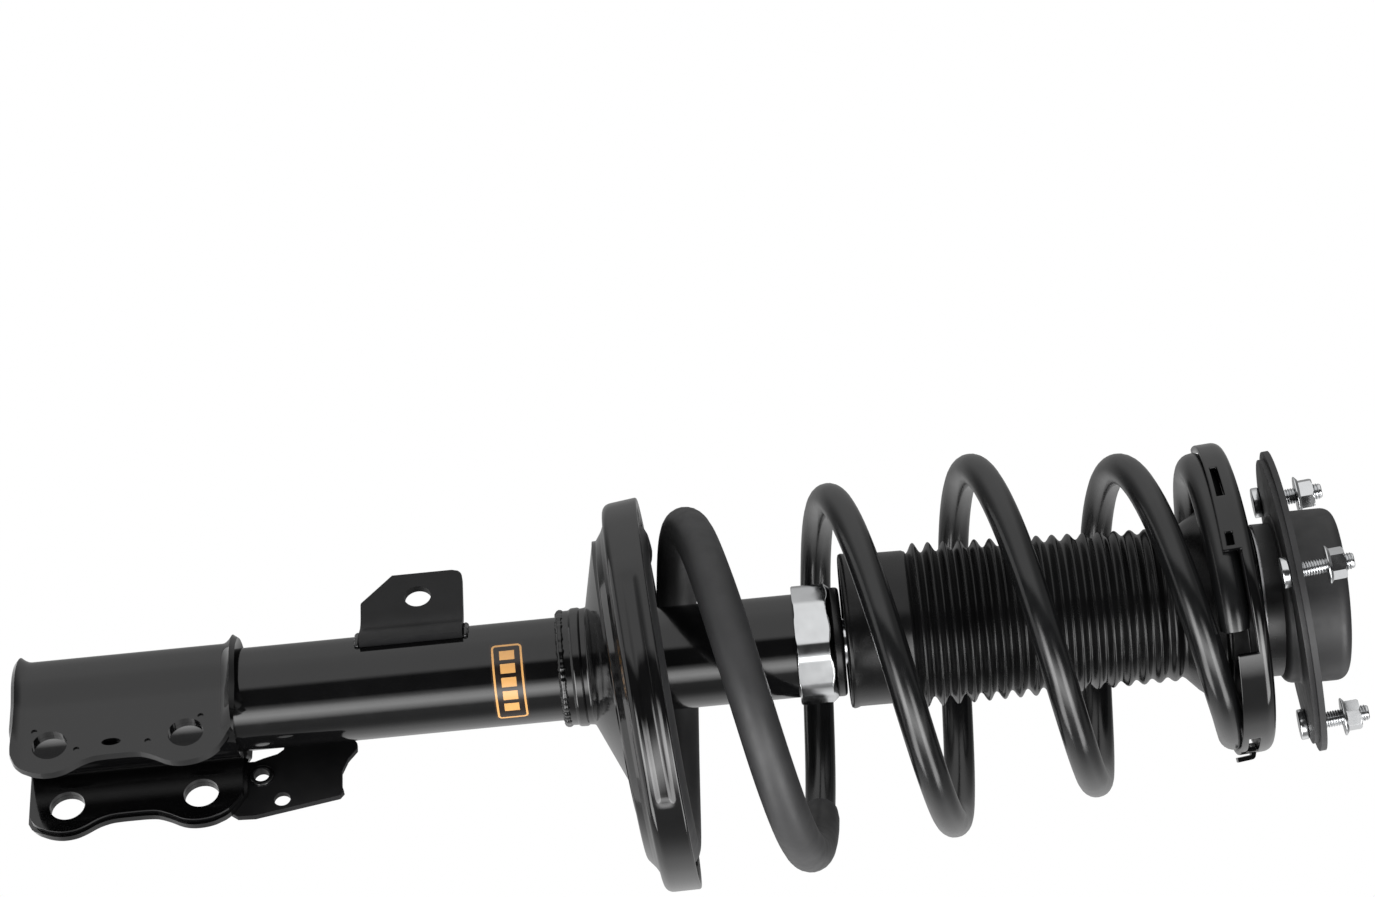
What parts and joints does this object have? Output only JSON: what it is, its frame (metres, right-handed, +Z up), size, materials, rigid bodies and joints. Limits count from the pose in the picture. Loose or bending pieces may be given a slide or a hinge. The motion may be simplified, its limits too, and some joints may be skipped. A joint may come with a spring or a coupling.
{
  "type": "suspension strut assembly",
  "caption": "Front suspension strut with twin-tube damper, coil spring between two seats, dust boot, studded top mount and a clamp bracket for the knuckle.",
  "frame": {"origin": "centre of the three-stud circle on the top mount's mating face, on the piston rod's axis", "axes": "+Z up the piston rod towards the top mount, +X to the wheel side where the knuckle ears point, +Y along the knuckle bolts"},
  "size_m": [0.195, 0.1924, 0.6518],
  "materials": {
    "black_paint": "gloss",
    "mount_paint": "satin",
    "spring_coating": "satin",
    "sleeve_vinyl": "matte",
    "boot_rubber": "matte",
    "black_rubber": "matte",
    "bump_foam": "matte",
    "black_plastic": "matte",
    "bright_zinc": "bright",
    "rod_chrome": "polished",
    "plain_steel": "machined",
    "valve_brass": "machined",
    "band_plastic": "matte",
    "label_film": "satin"
  },
  "bodies": {
    "top_mount": {"mount_upper_plate": "mount_paint", "mount_lower_plate": "mount_paint", "mount_rubber": "black_rubber", "mount_inner_sleeve": "plain_steel", "mount_studs": "bright_zinc", "stud_nuts": "bright_zinc", "rod_washer": "bright_zinc", "rod_nut": "bright_zinc", "piston_rod": "rod_chrome", "rebound_stop": "black_rubber", "rebound_collar": "plain_steel", "piston": "plain_steel", "piston_band": "band_plastic", "piston_nut": "plain_steel", "bump_stop": "bump_foam", "bearing_upper_race": "black_plastic"},
    "spring_group": {"upper_spring_seat": "black_paint", "upper_insulator": "black_rubber", "bearing_lower_race": "plain_steel", "bearing_balls": "plain_steel", "dust_boot": "boot_rubber", "coil_spring": "spring_coating", "spring_sleeve": "sleeve_vinyl"},
    "cylinder": {"strut_tube": "black_paint", "tube_end_cap": "black_paint", "pressure_tube": "plain_steel", "base_valve": "valve_brass", "rod_guide": "plain_steel", "rod_seal": "black_rubber", "gland_nut": "bright_zinc", "striker_cap": "black_plastic", "knuckle_bracket": "black_paint", "bracket_reinforcement": "black_paint", "brake_hose_bracket": "black_paint", "link_bracket": "black_paint", "tube_label": "label_film", "lower_spring_seat": "black_paint", "lower_insulator": "black_rubber"}
  },
  "joints": [
    {"name": "steering_swivel", "type": "hinge", "parent": "top_mount", "child": "spring_group", "pos_m": [0, 0, 0], "axis": [0, 0, 1], "range_deg": [-40, 40]},
    {"name": "strut_slide", "type": "slide", "parent": "spring_group", "child": "cylinder", "axis": [0, 0, 1], "range_m": [0, 0.11], "stiffness_N_per_m": 24000, "springref_m": -0.03, "deforming": ["coil_spring", "spring_sleeve"]}
  ]
}
